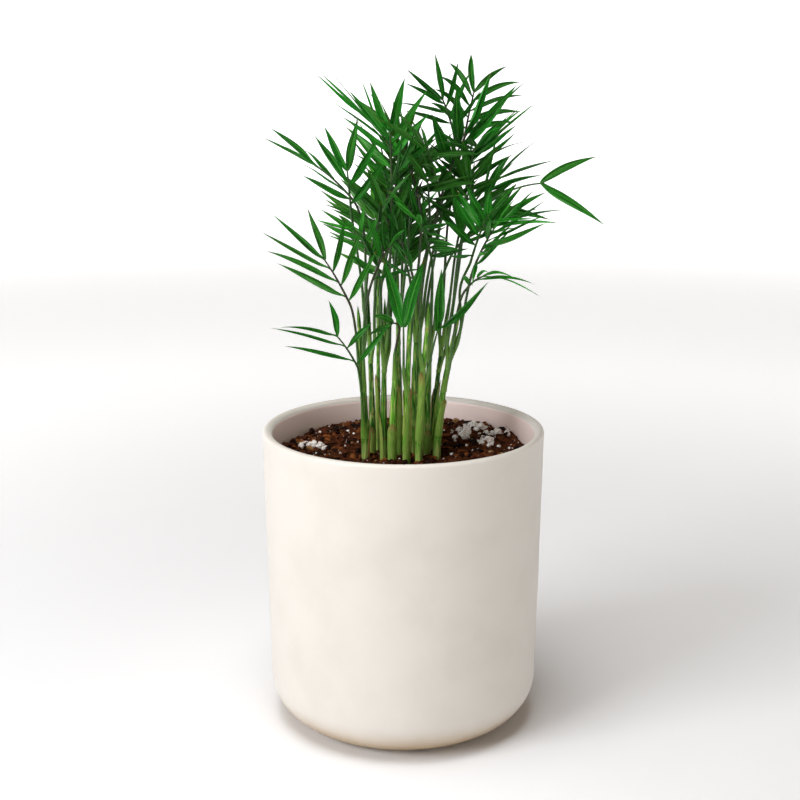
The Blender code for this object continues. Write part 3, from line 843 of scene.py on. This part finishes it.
def makeFibres():
    # thin roots and coir threads that lie across the crumbs
    draw = random.Random(6)
    form = Form("tone")
    for _ in range(mixLook["fibres"]):
        x, y = onTheMix(draw, 0.5, 8.0)
        heading, swing = draw.uniform(0.0, math.tau), draw.uniform(-0.28, 0.28)
        thick = draw.uniform(0.16, 0.42)
        rings = []
        for _ in range(draw.randint(5, 11)):
            if math.hypot(x, y) > innerRadius(growth["mixTop"]) - 2.0:
                break
            axis = Vector((math.cos(heading), math.sin(heading), 0.0))
            centre = Vector((x, y, crumbly(x, y) + draw.uniform(0.2, 1.1)))
            rings.append((aroundAxis(centre, axis, thick * draw.uniform(0.7, 1.1), 5), {}))
            x, y = x + axis.x * 1.6, y + axis.y * 1.6
            heading += swing + draw.uniform(-0.25, 0.25)
        if len(rings) > 2:
            form.addTube(rings, (0,), tone=draw.uniform(0.3, 1.0))
    form.finish("mix_fibres", [barkCrumb("coir and root threads, dry")])


def makePerlite():
    glass = expandedPerlite("perlite, expanded by heat")
    draw = random.Random(8)
    for number, (x, y, radius) in enumerate(perliteLumps):
        form = Form()
        shape = lump(draw, radius, (1.0, 1.0, 0.9), 0.5, 5, 1.9)
        form.addShape(*moved(shape, Vector((x, y, mixHeight(x, y) + 0.3))))
        form.finish(f"perlite_lump_{number + 1}", [glass], [f"perlite_{number + 1}"])
    form = Form()
    for number in range(mixLook["grains"]):
        if number % 8:
            x, y = onTheMix(draw)
            size = lerp(0.3, 1.3, draw.random() ** 3.0)
        else:
            x, y, reach = draw.choice(perliteLumps)
            angle, away = draw.uniform(0.0, math.tau), draw.uniform(0.8, 2.6) * reach
            x, y = x + math.cos(angle) * away, y + math.sin(angle) * away
            size = draw.uniform(0.8, 2.3)
        if math.hypot(x, y) > innerRadius(growth["mixTop"]) - 3.0:
            continue
        shape = lump(draw, size, (1.0, draw.uniform(0.7, 1.0), 0.8), 0.5, 3 if size > 1.0 else 2, 2.0)
        form.addShape(*moved(shape, Vector((x, y, crumbly(x, y) + size * 0.4))))
    form.finish("perlite_grains", [glass])


makeMix()
makeCrumbs()
makeFibres()
makePerlite()
print("mix filled, with", mixLook["crumbs"], "crumbs,", mixLook["chips"], "chips and",
      mixLook["grains"], "grains of perlite")


# Canes: slim green stems, ringed where old leaves sat, with dry sheaths at the foot

stemLook = {
    "young": "63A82C",
    "green": "1F5A12",
    "yellow": "C6D27A",
    "shade": "123F0C",
    "sheath": "6A9A30",       # a green one, still alive
    "dry": "BC9256",
    "scar": "7A5A34",
    "corners": 16,
    "steps": 9,               # rings between two knots of a cane
    "ringPitch": 26.0,        # mm between leaf scars
    "ringRise": 0.22,         # mm
    "spear": 9.0,             # mm, the furled leaf above the last stalk
}


def stemSkin(name):
    # living palm stem: smooth and slightly glossy, streaked along its length, straw-coloured at the foot; the
    # pale yellow streaks are partly its own streaking and partly painted highlight, the dark ones partly
    # painted shade
    material, tree, shader, fields = newMaterial(name, 0.42, 1.42, ("tone", "scar", "foot"), {
        "streaks": (0.9, 3.0, 0.5, 1.0, 1.0, 0.06),
        "patches": (9.0, 3.0, 0.5, 1.0, 1.0, 0.5),
    })
    glowThrough(shader, 0.08, (0.4, 0.8, 0.2), 1.0)
    shader.inputs["Specular IOR Level"].default_value = 0.25
    dress(tree, shader, fields, stemLook["green"], [
        ("tone", 0.0, 1.0, 1.0, stemLook["young"]),
        # pale streaks: partly painted highlight; dark streaks: partly painted shade
        ("streaks", 0.50, 0.66, 0.75, stemLook["yellow"]),
        ("streaks", 0.48, 0.34, 0.85, stemLook["shade"]),
        ("patches", 0.46, 0.74, 0.55, stemLook["shade"]),
        ("foot", 0.0, 1.0, 1.0, stemLook["yellow"]),
        ("scar", 0.0, 1.0, 1.0, stemLook["scar"]),
    ], [("streaks", 0.12, 0.4)])
    return material


def drySheath(name):
    # old leaf sheath, dried on the stem: papery, straw to red-brown, ribbed lengthways
    material, tree, shader, fields = newMaterial(name, 0.7, 1.45, ("dry", "tip"), {
        "ribs": (0.5, 3.0, 0.5, 1.0, 1.0, 0.05),
        "blotch": (4.0, 3.0, 0.5),
    })
    fields["stain"] = addNode(tree, "Math", 0, {0: fields["blotch"], 1: fields["dry"]},
                              operation="MULTIPLY")
    glowThrough(shader, 0.10, (0.8, 0.5, 0.2), 1.0)
    dress(tree, shader, fields, stemLook["sheath"], [
        ("dry", 0.0, 1.0, 1.0, stemLook["dry"]),
        ("tip", 0.72, 1.00, 0.80, "7A4A28"),
        ("ribs", 0.40, 0.70, 0.45, "B4B868"),
        ("stain", 0.45, 0.70, 1.0, "84482A"),
    ], [("ribs", 0.2, 0.5)])
    return material


def smoothThrough(values, parts):
    # a smooth run of numbers or vectors through the ones given
    knots = [values[0] * 2 - values[1]] + list(values) + [values[-1] * 2 - values[-2]]
    result = []
    for a, b, c, d in zip(knots, knots[1:], knots[2:], knots[3:]):
        for i in range(parts):
            t = i / parts
            result.append((b * 2 + (c - a) * t + (a * 2 - b * 5 + c * 4 - d) * t ** 2
                           + (b * 3 - a - c * 3 + d) * t ** 3) * 0.5)
    return result + [values[-1]]


def makeCane(number, cane, skin):
    path, corners = canePath(cane), stemLook["corners"]
    draw = random.Random(100 + number)
    centres = smoothThrough([point for point, radius in path], stemLook["steps"])
    radii = smoothThrough([radius for point, radius in path], stemLook["steps"])
    phase, tone = draw.uniform(0.0, stemLook["ringPitch"]), draw.random()
    rings = []
    for centre, radius in zip(centres, radii):
        near = ((centre.z - phase) / stemLook["ringPitch"]) % 1.0
        scar = math.exp(-((min(near, 1.0 - near) * stemLook["ringPitch"]) / 0.9) ** 2)
        radius += stemLook["ringRise"] * scar + 0.14 * (0.5 - near)
        foot = 1.0 - ease((centre.z - growth["mixTop"] - 2.0) / draw.uniform(16.0, 26.0))
        rings.append((aroundAxis(centre, up, radius, corners), {"scar": 0.6 * scar, "foot": 0.4 * foot}))
    lean = (centres[-1] - centres[-3]).normalized()
    top = centres[-1]
    for share in (0.3, 0.6, 0.85):
        size = radii[-1] * math.cos(math.pi / 2 * share) * 0.9
        rings.append((aroundAxis(top + lean * stemLook["spear"] * share, up, size, corners), {}))
    form = Form("tone", "scar", "foot")
    form.addTube(rings, (0,), top + lean * stemLook["spear"], tone=tone)
    form.finish(f"stem_{number + 1:02d}", [skin], [f"cane_{number + 1:02d}"])


def addSheath(form, cane, low, high, heading, wrap, flare, **marks):
    # a pointed half tube that hugs a cane and stands off a little at its tip
    columns, rows = 9, 12
    grid = []
    for row in range(rows):
        share = row / (rows - 1)
        centre, _, radius = caneAt(cane, lerp(low, high, share))
        half = math.radians(wrap) / 2 * math.sqrt(max(0.0, 1.0 - share ** 2.2)) + 0.03
        reach = radius + 0.18 + flare * ease((share - 0.45) / 0.55)
        outer, inner = [], []
        for column in range(columns):
            angle = heading + half * (2.0 * column / (columns - 1) - 1.0)
            out = Vector((math.cos(angle), math.sin(angle), 0.0))
            outer.append(centre + out * (reach + 0.22))
            inner.append(centre + out * reach)
        grid.append((outer + inner[::-1], {"tip": share}))
    form.addTube(grid, (0,), **marks)


def makeSheaths():
    draw = random.Random(31)
    form = Form("dry", "tip")
    for cane in canes:
        heading = draw.uniform(0.0, math.tau)
        for layer in range(draw.choice((1, 2, 2))):
            low = growth["mixTop"] - 6.0 + layer * draw.uniform(9.0, 26.0)
            high = low + draw.uniform(26.0, 62.0)
            addSheath(form, cane, low, min(high, 276.0), heading, draw.uniform(120.0, 210.0),
                      draw.uniform(0.1, 1.1), dry=draw.choice((0.0, 0.0, 0.1, 0.25, 0.9)))
            heading += draw.uniform(2.2, 4.0)
    form.finish("stem_sheaths", [drySheath("palm leaf sheath, dried")], sharp=50)


skin = stemSkin("palm stem, living")
for number, cane in enumerate(canes):
    makeCane(number, cane, skin)
makeSheaths()
print("stems grown:", len(canes))


# Fronds: stalk, rachis and leaflets in one piece

frondLook = {
    "deep": "001002",
    "fresh": "08870F",
    "olive": "35601A",
    "pale": "3FA62C",         # the young ones
    "shade": "083F1C",
    "under": "1A541B",
    "vein": "4FA436",
    "paintedSheen": "86B97A",        # painted highlight: light caught along the blade
    "veins": 30.0,            # how close the veins stand
    "streaks": (1.7, 1.2, 60.0),   # how fine they are over a blade, along it and from one to the next
    "stalk": "3F8226",
    "purple": "2C1B1B",
    "tip": "6B4A26",
    "rows": 15,               # rings along a leaflet
    "fold": 0.52,             # drop of the edges, as a share of half the width
    "thick": 0.40,            # mm at the midrib
    "edge": 0.10,             # mm at the edges
    "foot": 1.0,              # mm, where a leaflet joins the rachis
    "twist": 24.0,            # degrees from foot to tip, at most
    "wander": 1.0,            # mm off the plain line, at most
    "sheath": 20.0,           # mm that a stalk's foot runs down its cane
    "corners": 10,
}
acrossBlade = (-1.0, -0.55, -0.13, 0.0, 0.13, 0.55, 1.0)      # places over the upper side, edge to edge


def leafSkin(name, upper):
    # living palm leaflet: waxed and softly glossy above, duller and greyer beneath, ribbed by
    # fine parallel veins either side of a paler midrib, with a brown dried point here and there
    material, tree, shader, fields = newMaterial(
        name, 0.44 if upper else 0.58, 1.42, ("tone", "age", "along", "wide", "dry"), {
            "blotch": (6.0, 3.0, 0.5),
            "fine": (1.6, 2.0, 0.5),
        })
    waves = addNode(tree, "Math", 0, {0: fields["wide"], 1: frondLook["veins"], 2: fields["blotch"]},
                    operation="MULTIPLY_ADD")
    ribs = addNode(tree, "Math", 0, {0: waves}, operation="SINE")
    fields["veins"] = addNode(tree, "Math", 0, {0: ribs, 1: fields["fine"]}, operation="MULTIPLY")
    over = addNode(tree, "CombineXYZ", 0, {0: fields["wide"], 1: fields["along"], 2: fields["tone"]})
    drawn = addNode(tree, "Mapping", 0, {"Vector": over, "Scale": frondLook["streaks"]})
    fields["streaks"] = addNode(tree, "TexNoise", "Fac", {"Vector": drawn, "Scale": 1.0, "Detail": 4.0,
                                                          "Roughness": 0.65})
    fields["middle"] = addNode(tree, "Math", 0, {0: fields["wide"]}, operation="ABSOLUTE")
    fields["point"] = addNode(tree, "Math", 0, {0: fields["along"], 1: fields["dry"]}, operation="MULTIPLY")
    glowThrough(shader, 0.06, (0.2, 1.0, 0.1), 0.6)
    shader.inputs["Specular IOR Level"].default_value = 0.08
    layers = [
        ("tone", 0.0, 1.0, 1.0, frondLook["fresh"]),
        ("age", 0.60, 0.95, 0.90, frondLook["olive"]),
        ("age", 0.16, 0.00, 0.85, frondLook["pale"]),
        ("blotch", 0.45, 0.80, 0.35, frondLook["shade"]),
        # painted shade and painted highlight: dark and pale streaks along the blade, as a folded blade
        # catches the light
        ("streaks", 0.50, 0.34, 0.90, frondLook["deep"]),
        ("streaks", 0.54, 0.72, 0.55, frondLook["paintedSheen"]),
        ("veins", 0.18, 0.50, 0.45, frondLook["vein"]),
        ("middle", 0.14, 0.03, 0.55, frondLook["vein"]),
        ("point", 0.86, 0.985, 1.0, frondLook["tip"]),
    ]
    if not upper:
        layers.insert(4, ("blotch", -0.6, 1.0, 0.7, frondLook["under"]))
    dress(tree, shader, fields, frondLook["deep"], layers, [("blotch", 0.5, 0.2), ("veins", 0.06, 0.5)])
    return material


def stalkSkin(name):
    # leaf stalk and rachis: smooth green, darkening to purple-brown on some, streaked lengthways
    material, tree, shader, fields = newMaterial(name, 0.4, 1.42, ("tone", "purple", "foot"), {
        "streaks": (0.8, 3.0, 0.5, 1.0, 1.0, 0.08),
    })
    glowThrough(shader, 0.08, (0.3, 0.8, 0.2), 0.8)
    dress(tree, shader, fields, "24521A", [
        ("tone", 0.0, 1.0, 1.0, frondLook["stalk"]),
        ("purple", 0.0, 1.0, 1.0, frondLook["purple"]),
        ("streaks", 0.45, 0.75, 0.45, "6F9440"),
        ("foot", 0.0, 1.0, 1.0, "6B9636"),
    ], [("streaks", 0.1, 0.4)])
    return material


def stalkStations(frond, spine):
    # points, widths and shares along the stalk and rachis, finer than the plain ones
    widths, stalk, stations = spine["widths"], spine["stalk"], spine["stations"]
    for i in range(len(widths) - 1):
        parts = 6 if i < stalk else max(1, round((stations[i - stalk + 1] - stations[i - stalk]) / 2.5))
        for part in range(parts):
            t = part / parts
            if i < stalk:
                point = spine["stalkAt"]((i + t) / stalk)
            else:
                station = lerp(stations[i - stalk], stations[i - stalk + 1], t)
                point = rachisAt(frond, station / stations[-1])
            yield point, lerp(widths[i], widths[i + 1], t), (i + t) / (len(widths) - 1)
    yield Vector(frond.tip), widths[-1], 1.0


def addStalk(form, frond, spine, purple):
    # its foot is a sheath that clasps the cane, then leaves it
    cane = canes[frond.cane]
    stations = list(stalkStations(frond, spine))
    start = stations[0][0]
    rings = []
    for step in range(7):
        share = step / 7
        centre, axis, radius = caneAt(cane, frond.height - frondLook["sheath"] * (1.0 - share))
        leave = ease(share)
        point = centre.lerp(centre + (start - caneAt(cane, frond.height)[0]), leave)
        size = lerp(radius + 0.3, stations[0][1] * 0.62, leave)
        rings.append((aroundAxis(point, up, size, frondLook["corners"]), {"foot": 0.9 - 0.5 * share}))
    points = [point for point, width, share in stations]
    for i, (point, width, share) in enumerate(stations):
        axis = (points[min(i + 1, len(points) - 1)] - points[max(i - 1, 0)]).normalized()
        swell = 1.0 + 0.24 * math.exp(-share * 30.0) + 0.05 * noise.noise(point / 4.0)
        rings.append((aroundAxis(point, axis, width / 2 * swell, frondLook["corners"]),
                      {"foot": 0.4 * math.exp(-share * 12.0), "purple": purple * ease(share * 4.0)}))
    axis = (points[-1] - points[-2]).normalized()
    form.addTube(rings, (2,), points[-1] + axis * 1.2)


def bladeShare(t, last):
    # width of a leaflet at a place along it, as a share of its widest
    foot = 0.34 if last else 0.16
    if t < 0.35:
        return lerp(foot, 1.0, math.sin(math.pi / 2 * t / 0.35) ** 0.9)
    return math.cos(math.pi / 2 * ((t - 0.35) / 0.65) ** 1.05) ** 1.12


def addLeaflet(form, spine, leaflet, draw, marks):
    index, side, length, width = leaflet[:4]
    foot, edge, aim, bend, wide = leafletLine(spine, leaflet)
    last, roll = index == len(spine["feet"]) - 1, leaflet[-1]
    twist = draw.uniform(-frondLook["twist"], frondLook["twist"])
    fold = frondLook["fold"] * draw.uniform(0.5, 1.5)
    phase, sway = draw.uniform(0.0, math.tau), draw.uniform(0.3, 1.0) * frondLook["wander"]
    curlTip = draw.uniform(-0.4, 1.0) * frondLook["wander"]
    rings = []
    for row in range(frondLook["rows"]):
        t = (row / frondLook["rows"]) ** 1.1
        tangent = (aim + bend * 2 * t).normalized()
        broad = turned(across(wide, tangent), tangent, roll * min(1.0, t / 0.35) + twist * t) * side
        normal = broad.cross(tangent)
        centre = foot - edge * 0.7 * (1.0 - ease(t * 12.0)) + (aim * t + bend * t ** 2) * length
        centre += broad * sway * math.sin(phase + 3.4 * t) * ease(t * 2.0) * 0.7
        wave = 0.4 * sway * math.sin(phase * 2.0 + 5.0 * t) * ease(t * 2.0)
        centre -= normal * (curlTip * t ** 3 * 2.0 + wave)
        half = width * bladeShare(t, last) / 2
        thick = lerp(frondLook["foot"], frondLook["thick"] * (1.0 - 0.45 * t), ease(t * 9.0))
        points, own = [], []
        for number, u in enumerate(acrossBlade + acrossBlade[-2:0:-1]):
            beneath = number >= len(acrossBlade)
            body = max(0.0, 1.0 - abs(u) ** 1.5)
            rise = -fold * half * abs(u) ** 1.2 * ease(t * 6.0) + 0.08 * half * (1.0 - u * u)
            rise += 0.10 * math.sin(phase + 9.0 * t + 2.0 * u) * abs(u) * min(1.0, half / 3.0)
            if beneath:
                rise -= lerp(frondLook["edge"], thick, body) + (0.16 if u == 0.0 else 0.0)
            elif u == 0.0:
                rise -= 0.12 * ease(t * 6.0)
            points.append(centre + broad * half * u + normal * (rise + thick * 0.5))
            own.append({"along": t, "wide": u})
        rings.append((points, own))
    tangent = (aim + bend * 2).normalized()
    broad = turned(across(wide, tangent), tangent, roll + twist) * side
    end = foot + (aim + bend) * length + broad * sway * math.sin(phase + 3.4) * 0.7
    end -= broad.cross(tangent) * (curlTip * 2.0 + 0.4 * sway * math.sin(phase * 2.0 + 5.0))
    form.addTube(rings, (0,) * (len(acrossBlade) - 1) + (1,) * (len(acrossBlade) - 1), end, **marks)


def makeFrond(number, frond, spine, leaflets, skins):
    draw = random.Random(500 + number)
    form = Form("tone", "age", "along", "wide", "dry", "purple", "foot")
    age = draw.random()
    # inner fronds take darker tones: partly the darker green of leaves grown in shade, partly painted shade
    # deep in the crown
    tone = draw.uniform(0.25, 0.95) if number < len(outerFronds) else draw.uniform(0.0, 0.5)
    addStalk(form, frond, spine, draw.choice((0.0, 0.25, 0.6, 0.9)))
    for leaflet in leaflets:
        marks = {"tone": min(1.0, max(0.0, tone + draw.uniform(-0.45, 0.45))),
                 "age": min(1.0, max(0.0, age + draw.uniform(-0.12, 0.12))),
                 "dry": draw.choice((0.0, 0.0, 0.5, 1.0))}
        addLeaflet(form, spine, leaflet, draw, marks)
    form.finish(f"palm_frond_{number + 1:02d}", skins, [f"frond_{number + 1:02d}"], 24)


leafSkins = [leafSkin("palm leaflet, waxed upper side", True),
             leafSkin("palm leaflet, matt underside", False),
             stalkSkin("palm leaf stalk")]
for number, frond, spine, leaflets in palms:
    makeFrond(number, frond, spine, leaflets, leafSkins)
print("fronds grown:", len(palms))


# Floor, light and camera

stageLook = {
    "paper": "F4F4F4",
    "radius": 2.6,            # m, where the paper floor turns up into the wall
    "curve": 0.25,
    "turns": 96,
    "wall": 0.6,
    "glow": 0.72,             # the low wall glows of itself, in place of lamps of its own
    "sky": 0.06,
    "skyTint": "FFD2A4",
}


def makeStage():
    # seamless studio paper, matt white, swept up all round; the floor glows more the farther it lies from the
    # pot, as painted light, and the low wall glows evenly
    material, tree, shader, fields = newMaterial("studio paper, matt, glowing away from the pot", 0.9, 1.5)
    shader.inputs["Base Color"].default_value = colour(stageLook["paper"])
    shader.inputs["Specular IOR Level"].default_value = 0.0
    shader.inputs["Emission Color"].default_value = colour(stageLook["paper"])
    # painted light: the floor glows from 0.25 m out, fully from 1.3 m, leaving the shade near the pot
    away = addNode(tree, "VectorMath", "Value", {0: fields["place"]}, operation="LENGTH")
    glow = addNode(tree, "MapRange", 0, {"Value": away, "From Min": 0.25, "From Max": 1.3, "To Max": 0.5},
                   interpolation_type="SMOOTHSTEP")
    tree.links.new(glow, shader.inputs["Emission Strength"])
    glowingWall, _, glowingWallShader, _ = newMaterial("studio paper, glowing wall", 0.9, 1.5)
    glowingWallShader.inputs["Base Color"].default_value = colour(stageLook["paper"])
    glowingWallShader.inputs["Emission Color"].default_value = colour(stageLook["paper"])
    glowingWallShader.inputs["Emission Strength"].default_value = stageLook["glow"]
    profile = [(0.0, 0.0), (0.6, 0.0), (1.2, 0.0), (1.8, 0.0), (stageLook["radius"], 0.0)]
    profile += arc(stageLook["radius"], stageLook["curve"], stageLook["curve"], -90, 0, 12)[1:]
    profile.append((profile[-1][0], profile[-1][1] + stageLook["wall"]))
    form = bmesh.new()
    knots = [form.verts.new((x, 0.0, z)) for x, z in profile]
    edges = [form.edges.new(pair) for pair in zip(knots, knots[1:])]
    bmesh.ops.spin(form, geom=knots + edges, axis=up, cent=(0.0, 0.0, 0.0), angle=math.tau,
                   steps=stageLook["turns"])
    bmesh.ops.remove_doubles(form, verts=form.verts, dist=1e-5)
    bmesh.ops.recalc_face_normals(form, faces=form.faces)
    for face in form.faces:
        face.smooth = True
        face.material_index = 1 if face.calc_center_median().z > 0.02 else 0
    mesh = bpy.data.meshes.new("paper_floor")
    form.to_mesh(mesh)
    form.free()
    mesh.materials.append(material)
    mesh.materials.append(glowingWall)
    floor = bpy.data.objects.new("paper_floor", mesh)
    bpy.context.scene.collection.objects.link(floor)


# place and size in m, strength in W; both aim at the mix
softboxes = {
    "overhead": {"place": (-0.2, -0.3, 1.9), "size": (1.0, 1.0), "watts": 24.0, "tint": "FFFFFF"},
    "key": {"place": (-1.6, -1.15, 1.2), "size": (1.1, 0.9), "watts": 31.0, "tint": "F6F9FF"},
}
lampAim = Vector((0.0, 0.0, 0.2))


def addSoftbox(name, place, size, watts, tint):
    light = bpy.data.lights.new(name, "AREA")
    light.color = colour(tint)[:3]
    light.shape = "RECTANGLE"
    light.size, light.size_y = size
    light.energy = watts
    box = bpy.data.objects.new(name, light)
    box.location = place
    box.rotation_euler = (lampAim - Vector(place)).to_track_quat("-Z", "Y").to_euler()
    bpy.context.scene.collection.objects.link(box)


def makeWorld():
    world = bpy.data.worlds.new("studio")
    world.use_nodes = True
    background = world.node_tree.nodes["Background"]
    background.inputs["Color"].default_value = colour(stageLook["skyTint"])
    background.inputs["Strength"].default_value = stageLook["sky"]
    bpy.context.scene.world = world


cameraPlan = {
    "aim": (-0.0024, 0.0, 0.2344),
    "distance": 1.0,
    "height": 13.64,          # degrees above the level
    "lens": 63.4,             # mm, on a sensor of this width
    "sensor": 36.0,
}


def makeCamera():
    data = bpy.data.cameras.new("camera")
    data.lens = cameraPlan["lens"]
    data.sensor_width = cameraPlan["sensor"]
    camera = bpy.data.objects.new("camera", data)
    tilt = math.radians(cameraPlan["height"])
    back = Vector((0.0, -math.cos(tilt), math.sin(tilt)))
    camera.location = Vector(cameraPlan["aim"]) + back * cameraPlan["distance"]
    camera.rotation_euler = (math.pi / 2 - tilt, 0.0, 0.0)
    bpy.context.scene.collection.objects.link(camera)
    bpy.context.scene.camera = camera


makeStage()
makeWorld()
for name, lamp in softboxes.items():
    addSoftbox(name, **lamp)
makeCamera()
bpy.context.scene.view_settings.view_transform = "Standard"
print("stage lit")
